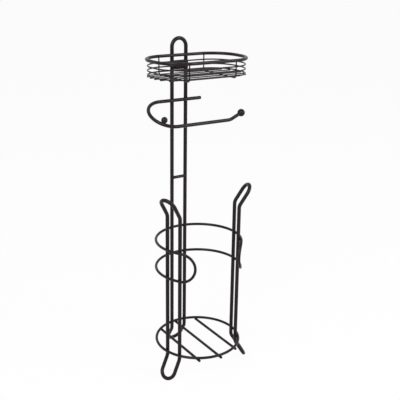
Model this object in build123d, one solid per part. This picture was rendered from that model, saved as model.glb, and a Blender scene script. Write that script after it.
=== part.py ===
from build123d import *
import math
import os

# Toilet paper holder: a welded wire stand with a tray, a roll arm and a cage for spare rolls.
# Millimetres. Z is up, the floor is at zero, +Y is the back where the tall post stands,
# and the Z axis is the axis of the base ring.

# Stock
ROD_D = 6.6             # round rod of the post and legs
WIRE_D = 4.8            # ring, bars and guard
RUNG_D = 5.5            # rung between the post's rods
ARM_D = 6.0             # roll arm
RIM_D = 5.4             # tray rim
HOOP_D = 2.4            # tray hoops under the rim
BOTTOM_D = 2.5          # tray hoop at the floor
RIB_D = 2.2             # tray ribs
FLOOR_D = 2.0           # tray floor wires
PLATE_T = 1.6           # both plates
ROD_BITE = 0.4          # depth that a weld sinks a wire into a rod
WIRE_BITE = 0.3         # the same between thin tray wires

# Stand
RING_R = 75.4           # base ring, to the middle of the wire
RING_Z = 46.8
LEG_ANGLE = 109.0       # each front leg's turn from the post
ROD_PITCH = 27.6        # between the two rods of one loop
FLARE = 32.0            # lean of the bent-out ends from upright, degrees
FLARE_OUT = 21.0        # reach of a bent-out end past the upright rods
FLARE_BEND = 15.0       # bend radius where an end leans out
FOOT_FLAT = 0.4         # ground off the underside of each foot
LEG_TOP = 336.0         # middle of the rod at the legs' tips
POST_TOP = 583.0        # middle of the rod at the top of the arch
BAR_X = 38.8            # outer bars from the middle one
BAR_OVER = 3.0          # bar ends past the middle of the ring's wire
RUNG_Z = 338.5
GUARD_Z = 215.7         # middle of the guard
GUARD_HALF = 25.6       # half the height between its two arcs
GUARD_TIP = 143.0       # turn of each rounded end's tip from the post
GUARD_STEPS = 4         # pairs of arcs along each rounded end

# Roll arm
ARM_DROP = 76.5         # back run below the tray rim
ARM_FALL = 30.3         # front run below the back run
ARM_FREE_X = 41.0       # cut end behind the roll
ARM_BEND_X = -42.2      # where the U bend starts
ARM_Y = 0.0             # front run, over the middle of the cage
KINK_X = 61.8           # corner of the kink near the end
KINK = 24.0
KINK_BEND = 20.0
END_REACH = 24.8        # from the kink's corner to the middle of the ball
END_BALL_D = 13.2
STOP_TURN = 40.3        # stop's place round the U bend from the front run, degrees
STOP_RISE = 8.0         # stop ball's middle over the middle of the arm
STOP_BALL_D = 10.8
STOP_PIN_D = 4.0
SOCKET_PAST = 1.0       # blind holes end this far past the middle of a ball
SOCKET_GAP = 0.5        # clear space left at the bottom of a blind hole

# Tray
RIM_DROP = 27.4         # rim below the top of the arch
TRAY_HALF_X = 84.5
TRAY_HALF_Y = 51.6
TRAY_CORNER = 45.0
UPPER_DROP = 10.2       # hoops below the rim
LOWER_DROP = 17.7
BOTTOM_DROP = 25.2
RIB_X = 44.7
RIB_LAP = 1.8           # rib ends above the middle of the rim
RIB_BEND = 5.0
FLOOR_PITCH = 14.0
FLOOR_COUNT = 6
FLOOR_OVER = 1.5        # floor wire ends past the bottom hoop

# Plates and screws
PLATE_W = 30.0
PLATE_H = 15.4
PLATE_CORNER = 2.0
PLATE_DROP = 23.9       # lower edges of the plates below the rim
SCREW_X = 5.5
SCREW_D = 4.0
SCREW_CLEAR = 0.5
HEAD_D = 7.0
HEAD_H = 2.4
TIP_OUT = 1.5           # screw tips past the tray plate
RECESS_W = 1.0
RECESS_L = 4.0
RECESS_DEEP = 1.3

# Places that follow from the sizes above
HALF = ROD_PITCH / 2
ROD_CIRCLE = RING_R - WIRE_D / 2 - ROD_D / 2 + ROD_BITE
ROD_OUT = math.sqrt(ROD_CIRCLE ** 2 - HALF ** 2)
ROD_FRONT = ROD_OUT - ROD_D / 2
LEAN_S = math.sin(math.radians(FLARE))
LEAN_C = math.cos(math.radians(FLARE))
FLARE_RUN = (FLARE_OUT - FLARE_BEND * (1 - LEAN_C)) / LEAN_S - HALF
FLARE_RISE = FLARE_BEND * LEAN_S + (FLARE_RUN + HALF) * LEAN_C
FOOT_Z = ROD_D / 2 - FOOT_FLAT
BAR_Z = RING_Z - WIRE_D + ROD_BITE
RIM_Z = POST_TOP - RIM_DROP
ARM_BACK_Y = ROD_FRONT - ARM_D / 2 + ROD_BITE
ARM_BACK_Z = RIM_Z - ARM_DROP
ARM_Z = ARM_BACK_Z - ARM_FALL
RIM_BACK_Y = ROD_FRONT - RIM_D / 2 + ROD_BITE
TRAY_Y = RIM_BACK_Y - TRAY_HALF_Y
RIB_INSET = RIM_D / 2 + RIB_D / 2 - ROD_BITE
HOOP_INSET = RIB_INSET - RIB_D / 2 - HOOP_D / 2 + WIRE_BITE
BOTTOM_INSET = RIB_INSET - RIB_D / 2 - BOTTOM_D / 2 + WIRE_BITE
BOTTOM_Z = RIM_Z - BOTTOM_DROP
FLOOR_Z = BOTTOM_Z - BOTTOM_D / 2 - FLOOR_D / 2 + WIRE_BITE
RIB_Z = FLOOR_Z - FLOOR_D / 2 - RIB_D / 2 + WIRE_BITE
TRAY_PLATE_Y = RIM_BACK_Y - HOOP_INSET + HOOP_D / 2 - WIRE_BITE
POST_PLATE_Y = TRAY_PLATE_Y + PLATE_T
PLATE_LOW = RIM_Z - PLATE_DROP
SCREW_Z = RIM_Z - (UPPER_DROP + LOWER_DROP) / 2
CORNER_X = TRAY_HALF_X - TRAY_CORNER
CORNER_Y = TRAY_HALF_Y - TRAY_CORNER


def tube(edges, diameter):
    """Round bar of one diameter carried along edges that run tangent into each other."""
    path = Wire(edges)
    start = Plane(origin=path @ 0, z_dir=path % 0)
    return sweep(start * Circle(diameter / 2), path=path)


def both_sides(half):
    """Joins a half that ends on the plane X = 0 to its mirror image."""
    return half + mirror(half, about=Plane.YZ)


def cut_by(piece, *heavier):
    """Sinks the seats of heavier pieces into a piece, so that they meet face to face."""
    for other in heavier:
        piece = piece - other
    return piece


def bent_end(z_bend, way):
    """Edges of one bent-out end, from the middle of its tip to the upright rod at x = HALF.

    way is -1 for a foot and +1 for a top; z_bend is where the upright rod starts to lean.
    """
    def lean(run):
        out = ROD_OUT + FLARE_BEND * (1 - LEAN_C) + run * LEAN_S
        return out, z_bend + way * (FLARE_BEND * LEAN_S + run * LEAN_C)

    def bend(degrees):
        turn = math.radians(degrees)
        out = ROD_OUT + FLARE_BEND * (1 - math.cos(turn))
        return HALF, out, z_bend + way * FLARE_BEND * math.sin(turn)

    slant = math.sqrt(0.5)
    tip = (0, *lean(FLARE_RUN + HALF))
    corner = (HALF * slant, *lean(FLARE_RUN + HALF * slant))
    side = (HALF, *lean(FLARE_RUN))
    return [
        ThreePointArc(tip, corner, side),
        Line(side, bend(FLARE)),
        ThreePointArc(bend(FLARE), bend(FLARE / 2), bend(0)),
    ]


def hairpin(arched_top):
    """Closed loop of rod standing at the back, foot bent out; the top is an arch or bent out too."""
    foot_bend = FOOT_Z + FLARE_RISE
    edges = bent_end(foot_bend, -1)
    low = (HALF, ROD_OUT, foot_bend)
    if arched_top:
        slant = math.sqrt(0.5)
        high = (HALF, ROD_OUT, POST_TOP - HALF)
        round_mid = (HALF * slant, ROD_OUT, POST_TOP - HALF + HALF * slant)
        edges += [Line(low, high), ThreePointArc(high, round_mid, (0, ROD_OUT, POST_TOP))]
    else:
        top_bend = LEG_TOP - FLARE_RISE
        tip, slope, bend = bent_end(top_bend, 1)
        edges += [
            Line(low, (HALF, ROD_OUT, top_bend)),
            ThreePointArc(bend @ 1, bend @ 0.5, bend @ 0),
            Line(slope @ 1, slope @ 0),
            ThreePointArc(tip @ 1, tip @ 0.5, tip @ 0),
        ]
    loop = both_sides(tube(edges, ROD_D))
    ground = Pos(0, ROD_OUT, -ROD_D) * Box(4 * ROD_D + ROD_PITCH, 4 * ROD_OUT, 2 * ROD_D)
    return loop - ground


def straight(start, end, diameter, edge):
    """Straight wire between two points with its cut ends chamfered."""
    bar = tube([Line(start, end)], diameter)
    return chamfer(bar.edges().filter_by(GeomType.CIRCLE), edge)


def biarc(start, leaving, end, arriving):
    """Two arcs that meet smoothly between start and end and keep the given directions there."""
    chord = end - start
    both = leaving + arriving
    spread = 2 - 2 * leaving.dot(arriving)
    along = chord.dot(both)
    arm = (math.sqrt(along ** 2 + spread * chord.dot(chord)) - along) / spread
    near = start + leaving * arm
    far = end - arriving * arm
    middle = (near + far) * 0.5
    return [
        TangentArc(start, middle, tangent=leaving),
        TangentArc(middle, end, tangent=(far - near).normalized()),
    ]


def make_guard():
    """Closed band of one wire wrapped round the cage, with a rounded end each side of the front gap."""
    end_turn = math.radians(GUARD_TIP) - GUARD_HALF / RING_R
    high = GUARD_Z + GUARD_HALF
    low = GUARD_Z - GUARD_HALF

    def wrapped(turn, z):
        return Vector(RING_R * math.sin(turn), RING_R * math.cos(turn), z)

    def rounded(i):
        swing = math.pi * (0.5 - i / GUARD_STEPS)
        turn = end_turn + GUARD_HALF / RING_R * math.cos(swing)
        along = Vector(math.sin(swing) * math.cos(turn), -math.sin(swing) * math.sin(turn), -math.cos(swing))
        return wrapped(turn, GUARD_Z + GUARD_HALF * math.sin(swing)), along

    edges = [ThreePointArc(wrapped(0, high), wrapped(end_turn / 2, high), wrapped(end_turn, high))]
    for i in range(GUARD_STEPS):
        edges += biarc(*rounded(i), *rounded(i + 1))
    edges.append(ThreePointArc(wrapped(end_turn, low), wrapped(end_turn / 2, low), wrapped(0, low)))
    return both_sides(tube(edges, WIRE_D))


def make_arm():
    """Roll arm, with the places of its end ball and of its stop."""
    mid_y = (ARM_BACK_Y + ARM_Y) / 2
    mid_z = (ARM_BACK_Z + ARM_Z) / 2
    across = math.hypot(ARM_BACK_Y - ARM_Y, ARM_BACK_Z - ARM_Z)
    radius = across / 2
    front_y = (ARM_Y - ARM_BACK_Y) / across
    front_z = (ARM_Z - ARM_BACK_Z) / across
    rise = math.radians(KINK)
    back_reach = KINK_BEND * math.tan(rise / 2)
    out = Vector(math.cos(rise), 0, math.sin(rise))
    corner = Vector(KINK_X, ARM_Y, ARM_Z)
    kink_start = corner - Vector(back_reach, 0, 0)
    kink_end = corner + out * back_reach
    kink_mid = kink_start + Vector(
        KINK_BEND * math.sin(rise / 2), 0, KINK_BEND * (1 - math.cos(rise / 2))
    )
    ball = corner + out * END_REACH
    end = ball + out * (SOCKET_PAST - SOCKET_GAP)
    back = (ARM_BEND_X, ARM_BACK_Y, ARM_BACK_Z)
    front = (ARM_BEND_X, ARM_Y, ARM_Z)
    edges = [
        Line((ARM_FREE_X, ARM_BACK_Y, ARM_BACK_Z), back),
        ThreePointArc(back, (ARM_BEND_X - radius, mid_y, mid_z), front),
        Line(front, kink_start),
        ThreePointArc(kink_start, kink_mid, kink_end),
        Line(kink_end, end),
    ]
    arm = tube(edges, ARM_D)
    cut_end = arm.faces().filter_by(GeomType.PLANE).sort_by(Axis.X)[0]
    arm = chamfer(cut_end.edges(), 0.6)
    swing = math.radians(STOP_TURN)
    foot = Vector(
        ARM_BEND_X - radius * math.sin(swing),
        mid_y + front_y * radius * math.cos(swing),
        mid_z + front_z * radius * math.cos(swing),
    )
    return arm, ball, out, foot


def drilled_ball(middle, diameter, axis, hole_d):
    """Ball with a blind hole that opens away from axis and ends just past the middle."""
    bottom = middle + axis * SOCKET_PAST
    hole = Plane(origin=bottom, z_dir=-axis) * Cylinder(
        hole_d / 2, diameter, align=(Align.CENTER, Align.CENTER, Align.MIN)
    )
    return Pos(*middle) * Sphere(diameter / 2) - hole


def oblong(inset, z, diameter):
    """Tray hoop: the rim's rounded oblong drawn in by inset."""
    x = TRAY_HALF_X - inset
    y = TRAY_HALF_Y - inset
    slant = (TRAY_CORNER - inset) * math.sqrt(0.5)
    back = TRAY_Y + y
    front = TRAY_Y - y
    edges = [
        Line((0, back, z), (CORNER_X, back, z)),
        ThreePointArc(
            (CORNER_X, back, z),
            (CORNER_X + slant, TRAY_Y + CORNER_Y + slant, z),
            (x, TRAY_Y + CORNER_Y, z),
        ),
        Line((x, TRAY_Y + CORNER_Y, z), (x, TRAY_Y - CORNER_Y, z)),
        ThreePointArc(
            (x, TRAY_Y - CORNER_Y, z),
            (CORNER_X + slant, TRAY_Y - CORNER_Y - slant, z),
            (CORNER_X, front, z),
        ),
        Line((CORNER_X, front, z), (0, front, z)),
    ]
    return both_sides(tube(edges, diameter))


def make_rib(x):
    """U-shaped rib: down inside the rim and hoops, under the floor wires and up again."""
    past = abs(x) - CORNER_X
    reach = CORNER_Y + math.sqrt((TRAY_CORNER - RIB_INSET) ** 2 - past ** 2)
    top = RIM_Z + RIB_LAP
    slant = RIB_BEND * (1 - math.sqrt(0.5))

    def at(y, z):
        return x, TRAY_Y + y, z

    edges = [
        Line(at(reach, top), at(reach, RIB_Z + RIB_BEND)),
        ThreePointArc(
            at(reach, RIB_Z + RIB_BEND), at(reach - slant, RIB_Z + slant), at(reach - RIB_BEND, RIB_Z)
        ),
        Line(at(reach - RIB_BEND, RIB_Z), at(RIB_BEND - reach, RIB_Z)),
        ThreePointArc(
            at(RIB_BEND - reach, RIB_Z), at(slant - reach, RIB_Z + slant), at(-reach, RIB_Z + RIB_BEND)
        ),
        Line(at(-reach, RIB_Z + RIB_BEND), at(-reach, top)),
    ]
    return tube(edges, RIB_D)


def make_floor_wire(i):
    """Floor wire number i from the back, its ends lapped under the bottom hoop."""
    y = FLOOR_PITCH * ((FLOOR_COUNT - 1) / 2 - i)
    past = max(abs(y) - CORNER_Y, 0)
    reach = CORNER_X + math.sqrt((TRAY_CORNER - BOTTOM_INSET) ** 2 - past ** 2) + FLOOR_OVER
    return straight((-reach, TRAY_Y + y, FLOOR_Z), (reach, TRAY_Y + y, FLOOR_Z), FLOOR_D, 0.25)


def make_plate(y, hole_d):
    """Plate with rounded corners and two screw holes, its front face at y."""
    face = RectangleRounded(PLATE_W, PLATE_H, PLATE_CORNER)
    for side in (-1, 1):
        face = face - Pos(side * SCREW_X, SCREW_Z - PLATE_LOW - PLATE_H / 2) * Circle(hole_d / 2)
    front = Plane(origin=(0, y, PLATE_LOW + PLATE_H / 2), x_dir=(-1, 0, 0), z_dir=(0, 1, 0))
    return extrude(front * face, PLATE_T)


def make_screw(x):
    """Pan head machine screw put in from behind, with a cross recess."""
    low = (Align.CENTER, Align.CENTER, Align.MIN)
    high = (Align.CENTER, Align.CENTER, Align.MAX)
    head = Cylinder(HEAD_D / 2, HEAD_H, align=low)
    head = fillet(head.edges().filter_by(GeomType.CIRCLE).sort_by(Axis.Z)[-1], 1.0)
    for turn in (0, 90):
        slot = Pos(0, 0, HEAD_H) * Rot(0, 0, turn) * Box(RECESS_L, RECESS_W, RECESS_DEEP, align=high)
        head = head - slot
    shank = Cylinder(SCREW_D / 2, 2 * PLATE_T + TIP_OUT, align=high)
    shank = chamfer(shank.edges().filter_by(GeomType.CIRCLE).sort_by(Axis.Z)[0], 0.5)
    return Pos(x, POST_PLATE_Y + PLATE_T, SCREW_Z) * Rot(-90, 0, 0) * (head + shank)


back_post = hairpin(True)
leg = hairpin(False)
right_leg = Rot(0, 0, -LEG_ANGLE) * leg
left_leg = Rot(0, 0, LEG_ANGLE) * leg

half_ring = ThreePointArc((0, RING_R, RING_Z), (RING_R, 0, RING_Z), (0, -RING_R, RING_Z))
ring_side = cut_by(tube([half_ring], WIRE_D), back_post, right_leg)
base_ring = both_sides(ring_side)
roll_guard = cut_by(make_guard(), back_post, left_leg, right_leg)
rung_end = (HALF, ROD_OUT, RUNG_Z)
post_rung = cut_by(tube([Line((-HALF, ROD_OUT, RUNG_Z), rung_end)], RUNG_D), back_post)


def make_bar(x):
    """Base bar along Y at x, let into the underside of the ring."""
    reach = math.sqrt(RING_R ** 2 - x ** 2) + BAR_OVER
    bar = straight((x, -reach, BAR_Z), (x, reach, BAR_Z), WIRE_D, 0.4)
    return cut_by(bar, ring_side, mirror(ring_side, about=Plane.YZ))


arm, ball_at, ball_way, stop_at = make_arm()
roll_arm = cut_by(arm, back_post)
arm_end_ball = drilled_ball(ball_at, END_BALL_D, ball_way, ARM_D)
up = Vector(0, 0, 1)
stop_middle = stop_at + up * STOP_RISE
pin_end = stop_middle + up * (SOCKET_PAST - SOCKET_GAP)
roll_stop_pin = cut_by(tube([Line(stop_at, pin_end)], STOP_PIN_D), arm)
roll_stop_ball = cut_by(drilled_ball(stop_middle, STOP_BALL_D, up, STOP_PIN_D), arm)

tray_rim = cut_by(oblong(0, RIM_Z, RIM_D), back_post)
tray_bottom_wire = oblong(BOTTOM_INSET, BOTTOM_Z, BOTTOM_D)
ribs = {x: cut_by(make_rib(x), tray_rim, tray_bottom_wire) for x in (-RIB_X, RIB_X)}
post_plate = cut_by(make_plate(POST_PLATE_Y, SCREW_D + SCREW_CLEAR), back_post)
tray_plate = make_plate(TRAY_PLATE_Y, SCREW_D)
hoop_seats = (*ribs.values(), tray_plate)

nodes = {
    "back_post": back_post,
    "left_leg": left_leg,
    "right_leg": right_leg,
    "base_ring": base_ring,
    "base_bar_left": make_bar(-BAR_X),
    "base_bar_centre": make_bar(0),
    "base_bar_right": make_bar(BAR_X),
    "roll_guard": roll_guard,
    "post_rung": post_rung,
    "roll_arm": roll_arm,
    "arm_end_ball": arm_end_ball,
    "roll_stop_pin": roll_stop_pin,
    "roll_stop_ball": roll_stop_ball,
    "tray_rim": tray_rim,
    "tray_upper_wire": cut_by(oblong(HOOP_INSET, RIM_Z - UPPER_DROP, HOOP_D), *hoop_seats),
    "tray_lower_wire": cut_by(oblong(HOOP_INSET, RIM_Z - LOWER_DROP, HOOP_D), *hoop_seats),
    "tray_bottom_wire": tray_bottom_wire,
    "tray_rib_left": ribs[-RIB_X],
    "tray_rib_right": ribs[RIB_X],
    "tray_plate": tray_plate,
    "post_plate": post_plate,
    "tray_screw_left": make_screw(-SCREW_X),
    "tray_screw_right": make_screw(SCREW_X),
}
for i in range(FLOOR_COUNT):
    nodes[f"tray_floor_wire_{i + 1}"] = cut_by(make_floor_wire(i), tray_bottom_wire, *ribs.values())

os.makedirs("parts", exist_ok=True)
for name, shape in nodes.items():
    solids = shape.solids()
    assert len(solids) == 1, (name, len(solids))
    solid = solids[0]
    solid.label = name
    export_step(solid, f"parts/{name}.step")
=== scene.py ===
"""Looks of a free-standing wire toilet paper holder, laid out as an add-on and run as a script."""

import math
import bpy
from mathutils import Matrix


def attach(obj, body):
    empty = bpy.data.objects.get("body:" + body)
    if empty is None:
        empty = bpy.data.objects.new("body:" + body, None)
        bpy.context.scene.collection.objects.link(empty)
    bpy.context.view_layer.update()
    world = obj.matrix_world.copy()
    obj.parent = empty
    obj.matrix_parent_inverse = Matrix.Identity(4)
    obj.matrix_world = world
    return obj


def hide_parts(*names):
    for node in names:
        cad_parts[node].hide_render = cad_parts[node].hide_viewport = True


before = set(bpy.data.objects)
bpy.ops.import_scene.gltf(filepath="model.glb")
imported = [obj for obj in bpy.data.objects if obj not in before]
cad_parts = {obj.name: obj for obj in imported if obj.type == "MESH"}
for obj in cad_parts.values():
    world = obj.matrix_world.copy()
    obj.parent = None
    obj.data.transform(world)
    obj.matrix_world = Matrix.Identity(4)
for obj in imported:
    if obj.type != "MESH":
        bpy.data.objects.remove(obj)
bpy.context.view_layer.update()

from types import SimpleNamespace

import bmesh
import bpy
import numpy as np
from bpy.props import FloatProperty, FloatVectorProperty, PointerProperty
from bpy.types import Operator, Panel, PropertyGroup
from mathutils import Quaternion, Vector

bl_info = {
    "name": "Wire toilet paper holder",
    "version": (1, 0, 0),
    "blender": (4, 5, 0),
    "location": "3D View > Sidebar > Holder",
    "description": "Coated wire stand with a tray, a roll arm and a cage for spare rolls",
    "category": "Object",
}

MM = 0.001
TURN_STEP = math.radians(4)     # arcs are cut into steps of about this turn
RUN_STEP = 12 * MM              # straight runs are cut into steps of about this length
SIDES = 32                      # points round a rod or wire
FINE_SIDES = 4 * SIDES          # points round a plate or a screw
ROUND_STEPS = 4                 # steps over a softened edge
BALL_STEPS = 40                 # rows from a ball's crown to its rod
NECK_ROWS = (0.2, 0.4, 0.6)     # rows on the rod under a ball, as shares of the neck
HEAD_STEPS = 40                 # rows from the middle of a screw's head to its rounded edge
THREAD_STEPS = 10               # rows along one pitch of thread
THREAD_SLOPE = 1.6              # steepness of the thread's flanks
BEAD_SINK = 0.03 * MM           # how far the rim of a weld bead lies under the wire's skin
BEAD_LIMIT = 0.93               # share of a wire's radius that a bead may reach aside
MERGE_GAP = MM / 1000           # points nearer than this are one
MOTTLE_MM = 11                  # patches where the coat's film is thicker or thinner
SHEEN_MM = 4                    # patches of more and less gloss
PEEL_MM = 1.4                   # dimples of the orange peel
PEEL_DEEP = 0.02 * MM           # depth of those dimples
FLAKE_MM = 0.5                  # real flakes are under 0.1 mm; drawn larger so that they show
FLAKE_FROM = 0.86               # cells whose chance is over this hold a flake
FLAKE_SHOWN = 0.15              # how much of its colour the brightest flake gives
RUBBED_MM = 1.2                 # patches that the driver rubbed on the screws
COAT_SLOT = "bronze_coat"
SCREW_SLOT = "screw_steel"
PAPER = "studio_floor"
X_WAY = np.array([1.0, 0.0, 0.0])
Y_WAY = np.array([0.0, 1.0, 0.0])
Z_WAY = np.array([0.0, 0.0, 1.0])


# Sizes and colours


def length(name, mm, text):
    """A size for the panel, written here in millimetres and kept in metres."""
    return FloatProperty(name=name, description=text, default=mm * MM, unit="LENGTH", precision=5)


def angle(name, degrees, text):
    """An angle for the panel, written here in degrees."""
    return FloatProperty(name=name, description=text, default=math.radians(degrees), subtype="ANGLE")


def place(name, at, text):
    """A place for the panel, in metres."""
    return FloatVectorProperty(name=name, description=text, default=at, unit="LENGTH")


def amount(name, value, text, unit="NONE"):
    """A plain number for the panel, or one with a unit of its own."""
    return FloatProperty(name=name, description=text, default=value, unit=unit)


def linear(code):
    """Linear colour of an sRGB hex value: below 0.04045 a share, above it a power of 2.4."""
    srgb = np.array([int(code[i:i + 2], 16) for i in (1, 3, 5)]) / 255
    return tuple(np.where(srgb <= 0.04045, srgb / 12.92, ((srgb + 0.055) / 1.055) ** 2.4).tolist())


def colour(name, code, text):
    """A colour for the panel, written here as an sRGB hex value."""
    return FloatVectorProperty(
        name=name, description=text, default=linear(code), size=3, min=0, max=1, subtype="COLOR"
    )


class HolderStand(PropertyGroup):
    """Post, legs, base ring, bars, guard and rung."""

    rod_d: length("Rod", 6.6, "Round rod of the post and legs")
    wire_d: length("Wire", 4.8, "Wire of the ring, bars and guard")
    rung_d: length("Rung", 5.5, "Rung between the post's rods")
    bite: length("Weld bite", 0.4, "Depth that a weld sinks a wire into a rod")
    bead: length("Weld bead", 0.6, "Reach of a weld bead past its seat")
    collar: length("Rung collar", 0.8, "Weld collar round each end of the rung")
    edge: length("Cut edge", 0.5, "Softening that the coat gives a cut wire end")
    ring_r: length("Ring radius", 75.4, "Base ring, to the middle of the wire")
    ring_z: length("Ring height", 46.8, "Middle of the base ring's wire")
    leg_turn: angle("Leg turn", 109.0, "Each front leg's turn from the post")
    rod_pitch: length("Rod pitch", 27.6, "Between the two rods of one loop")
    flare: angle("Flare", 32.0, "Lean of the bent-out ends from upright")
    flare_out: length("Flare reach", 21.0, "Reach of a bent-out end past the upright rods")
    flare_bend: length("Flare bend", 15.0, "Bend radius where an end leans out")
    foot_flat: length("Foot flat", 0.4, "Ground off the underside of each foot")
    leg_top: length("Leg top", 336.0, "Middle of the rod at the legs' tips")
    rung_z: length("Rung height", 338.5, "Middle of the rung")
    post_top: length("Post top", 583.0, "Middle of the rod at the top of the arch")
    bar_x: length("Bar spacing", 38.8, "Outer bars from the middle one")
    bar_over: length("Bar over", 3.0, "Bar ends past the middle of the ring's wire")
    guard_z: length("Guard height", 215.7, "Middle of the guard")
    guard_half: length("Guard half", 25.6, "Half the height between the guard's two arcs")
    guard_tip: angle("Guard tip", 143.0, "Turn of each rounded end's tip from the post")


class HolderArm(PropertyGroup):
    """Roll arm with its end ball and stop."""

    arm_d: length("Arm", 6.0, "Rod of the roll arm")
    drop: length("Drop", 76.5, "Back run below the tray rim")
    fall: length("Fall", 30.3, "Front run below the back run")
    free_x: length("Free end", 41.0, "Cut end behind the roll")
    bend_x: length("Bend start", -42.2, "Where the U bend starts")
    front_y: length("Front run", 0.0, "Front run, over the middle of the cage")
    kink_x: length("Kink place", 61.8, "Corner of the kink near the end")
    kink: angle("Kink", 24.0, "Rise of the arm's end")
    kink_bend: length("Kink bend", 20.0, "Bend radius at the kink")
    end_reach: length("End reach", 24.8, "From the kink's corner to the middle of the ball")
    end_ball_d: length("End ball", 13.2, "Ball on the arm's end")
    stop_turn: angle("Stop turn", 40.3, "Stop's place round the U bend from the front run")
    stop_rise: length("Stop rise", 8.0, "Stop ball's middle over the middle of the arm")
    stop_ball_d: length("Stop ball", 10.8, "Ball on the stop")
    stop_pin_d: length("Stop pin", 4.0, "Pin under the stop ball")
    stop_seat_d: length("Stop seat", 5.2, "Seat of the stop ball on the arm")
    stop_collar: length("Stop collar", 0.7, "Braze collar round the stop ball's seat")
    neck: length("Neck", 0.9, "Width of the fillet between a ball and its rod")


class HolderTray(PropertyGroup):
    """Tray of a rim, three hoops, two ribs and a wire floor."""

    rim_d: length("Rim", 5.4, "Wire of the rim")
    hoop_d: length("Hoops", 2.4, "Two hoops under the rim")
    bottom_d: length("Bottom hoop", 2.5, "Hoop at the floor")
    rib_d: length("Ribs", 2.2, "U-shaped ribs")
    floor_d: length("Floor wires", 2.0, "Wires along the floor")
    bite: length("Weld bite", 0.3, "Depth that a weld sinks one tray wire into another")
    bead: length("Weld bead", 0.3, "Reach of a weld bead past its seat")
    edge: length("Cut edge", 0.3, "Softening that the coat gives a cut tray wire")
    rim_drop: length("Rim drop", 27.4, "Rim below the top of the arch")
    half_x: length("Half length", 84.5, "Half the rim's length, to the middle of the wire")
    half_y: length("Half depth", 51.6, "Half the rim's depth, to the middle of the wire")
    corner: length("Corner", 45.0, "Corner radius of the rim")
    upper_drop: length("Upper drop", 10.2, "Upper hoop below the rim")
    lower_drop: length("Lower drop", 17.7, "Lower hoop below the rim")
    bottom_drop: length("Bottom drop", 25.2, "Bottom hoop below the rim")
    rib_x: length("Rib place", 44.7, "Each rib from the middle of the tray")
    rib_lap: length("Rib lap", 1.8, "Rib ends above the middle of the rim")
    rib_bend: length("Rib bend", 5.0, "Bend radius of the ribs")
    floor_pitch: length("Floor pitch", 14.0, "Between floor wires")
    floor_over: length("Floor over", 1.5, "Floor wire ends past the bottom hoop")


class HolderFixing(PropertyGroup):
    """Plates and screws that hold the tray to the post."""

    plate_t: length("Plate", 1.6, "Thickness of both plates")
    plate_w: length("Plate width", 30.0, "Width of both plates")
    plate_h: length("Plate height", 15.4, "Height of both plates")
    plate_corner: length("Plate corner", 2.0, "Corner radius of the plates")
    plate_drop: length("Plate drop", 23.9, "Lower edges of the plates below the rim")
    plate_edge: length("Plate edge", 0.35, "Softening of the plates' sheared edges")
    screw_x: length("Screw place", 5.5, "Each screw from the middle")
    screw_d: length("Screw", 4.0, "Outer diameter of the thread")
    pitch: length("Thread pitch", 0.7, "Rise of the thread in one turn")
    head_d: length("Head", 7.0, "Pan head diameter")
    head_h: length("Head height", 2.4, "Pan head height")
    head_round: length("Head edge", 1.0, "Rounding of the pan head's edge")
    head_crown: length("Head crown", 0.12, "Rise of the head's top in its middle")
    thread_deep: length("Thread depth", 0.3, "Depth of the thread")
    tip_out: length("Tip", 1.5, "Screw tips past the tray plate")
    tip_taper: length("Tip taper", 0.5, "Length and depth of the taper at a tip")
    recess_w: length("Recess width", 1.0, "Width of the cross recess's arms")
    recess_l: length("Recess length", 4.0, "Length across the cross recess")
    recess_deep: length("Recess depth", 1.3, "Depth of the cross recess")
    recess_side: length("Recess side", 0.15, "Slope along the recess's arms")
    recess_end: length("Recess end", 0.9, "Slope at the ends of the recess's arms")


class HolderFinish(PropertyGroup):
    """Colours of the coat, the screws and the floor, and how much of its shading the floor shows."""

    coat_dark: colour("Coat, dark", "#110b0d", "Deeper tone of the bronze-black coat")
    coat_light: colour("Coat, light", "#20171a", "Paler tone of the bronze-black coat")
    flake: colour("Flake", "#6b5548", "Bronze flakes in the coat")
    oxide_dark: colour("Oxide, dark", "#2c2c2e", "Blackened steel of the screws")
    oxide_light: colour("Oxide, light", "#4a4849", "Blackened steel where the driver rubbed it")
    floor: colour("Floor", "#f7f7f7", "Floor and backdrop")
    floor_shade: amount("Floor shade", 0.06, "Share of the floor's light and shadow in what is seen")


class HolderStage(PropertyGroup):
    """Camera, lights and floor."""

    camera_at: place("Camera", (-0.6416, -0.9789, 0.71), "Place of the camera")
    camera_to: place("Aim", (0.0012, -0.0008, 0.314), "Point in the middle of the picture")
    camera_roll: angle("Roll", 0.76, "Turn of the camera about its own axis")
    lens: amount("Lens", 64.14, "Focal length in millimetres")
    sensor: amount("Sensor", 36.0, "Width of the picture behind the lens in millimetres")
    key_at: place("Key place", (-1.5, -0.9, 1.7), "Middle of the key softbox")
    key_size: amount("Key size", 1.1, "Side of the key softbox", "LENGTH")
    key_power: amount("Key", 30.0, "Power of the key softbox", "POWER")
    fill_at: place("Fill place", (1.1, -1.6, 1.3), "Middle of the fill softbox")
    fill_size: amount("Fill size", 0.9, "Side of the fill softbox", "LENGTH")
    fill_power: amount("Fill", 24.0, "Power of the fill softbox", "POWER")
    lights_to: place("Lights' aim", (0, 0, 0.3), "Point that both softboxes face")
    sky_light: amount("Room", 0.42, "Even light from all round")
    sky_seen: amount("Backdrop", 0.965, "Backdrop's white where it is looked at")
    floor_reach: amount("Paper", 40.0, "Reach of the floor each way from the stand", "LENGTH")


GROUPS = {
    "holder_stand": HolderStand,
    "holder_arm": HolderArm,
    "holder_tray": HolderTray,
    "holder_fixing": HolderFixing,
    "holder_finish": HolderFinish,
    "holder_stage": HolderStage,
}


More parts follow.
